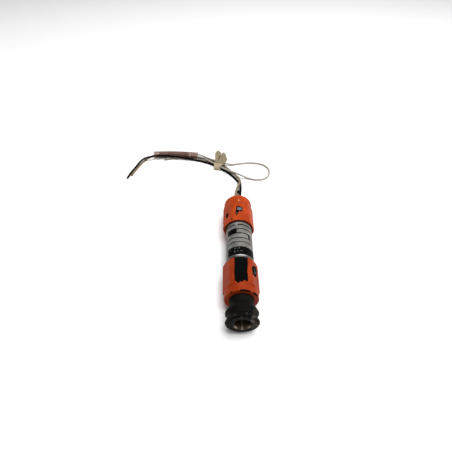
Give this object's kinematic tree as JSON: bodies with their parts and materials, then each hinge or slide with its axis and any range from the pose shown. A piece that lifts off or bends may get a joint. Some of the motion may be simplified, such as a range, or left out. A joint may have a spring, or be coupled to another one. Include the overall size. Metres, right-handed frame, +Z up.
{
  "type": "pinpointer probe",
  "caption": "Slim metal-detecting probe: capped metal barrel, sprung sensing nose in a rubber bellows, bare leads and a string loop from the rear gland.",
  "frame": {"origin": "under the middle of the probe's body, on the surface that it rests on, leads left out", "axes": "+Z up, the barrel lies along Y with its nose at -Y and its leads leaving at +Y"},
  "size_m": [0.1867, 0.2739, 0.0307],
  "materials": {
    "orange_paint": "glossy orange enamel, chipped",
    "tube_metal": "satin turned metal",
    "nameplate_foil": null,
    "boot_rubber": "matt black moulded rubber, dusty",
    "nose_steel": "turned and polished bore",
    "plain_steel": "plain",
    "spring_steel": "spring wire",
    "bronze": "sintered bronze",
    "brass_pins": "tinned brass",
    "ferrite": "dark grey ceramic ferrite",
    "copper_wire": "enamelled copper",
    "moulding": "black moulded insulator",
    "seal_rubber": "nitrile seal",
    "board_laminate": "green laminate",
    "component_black": "moulded package",
    "component_blue": "sleeved can",
    "resistor_tan": "lacquered body",
    "black_insulation": "black lead insulation",
    "grey_insulation": "grey-beige lead insulation, aged",
    "tan_insulation": "tan lead insulation, aged",
    "string_cotton": "braided white cord",
    "sleeve_film": "clear sleeve, aged pinkish brown",
    "paper_tape": "crumpled paper tape"
  },
  "bodies": {
    "housing": {"front_cap": "orange_paint", "rear_cap": "orange_paint", "front_o_ring": "seal_rubber", "rear_o_ring": "seal_rubber", "barrel_tube": "tube_metal", "nameplate": "nameplate_foil", "bellows_boot": "boot_rubber", "boot_clamp_ring": "plain_steel", "guide_bush": "bronze", "return_spring": "spring_steel", "spring_seat": "plain_steel", "seat_snap_ring": "spring_steel", "board_carrier": "moulding", "circuit_board": "board_laminate", "oscillator_chip": "component_black", "filter_capacitors": "component_blue", "axial_resistors": "resistor_tan", "sensitivity_trimmer": "component_blue", "solder_terminals": "brass_pins", "inner_leads": "black_insulation", "lead_clamp": "moulding", "clamp_screws": "brass_pins", "rear_grommet": "seal_rubber", "coil_pigtail": "copper_wire", "black_lead": "black_insulation", "tan_lead": "tan_insulation", "grey_lead": "grey_insulation", "tag_string": "string_cotton", "marker_sleeve": "sleeve_film", "splice_sleeve": "black_insulation", "tape_tie": "paper_tape"},
    "nose": {"nose_ferrule": "nose_steel", "plunger_tube": "plain_steel", "plunger_circlip": "spring_steel", "spring_washer": "plain_steel", "coil_bobbin": "moulding", "coil_winding": "copper_wire", "ferrite_core": "ferrite", "plunger_plug": "moulding"}
  },
  "joints": [
    {"name": "nose_slide", "type": "slide", "parent": "housing", "child": "nose", "axis": [0, 1, 0], "range_m": [0, 0.006], "stiffness_N_per_m": 350, "springref_m": -0.004, "deforming": ["bellows_boot", "return_spring", "coil_pigtail"]}
  ]
}
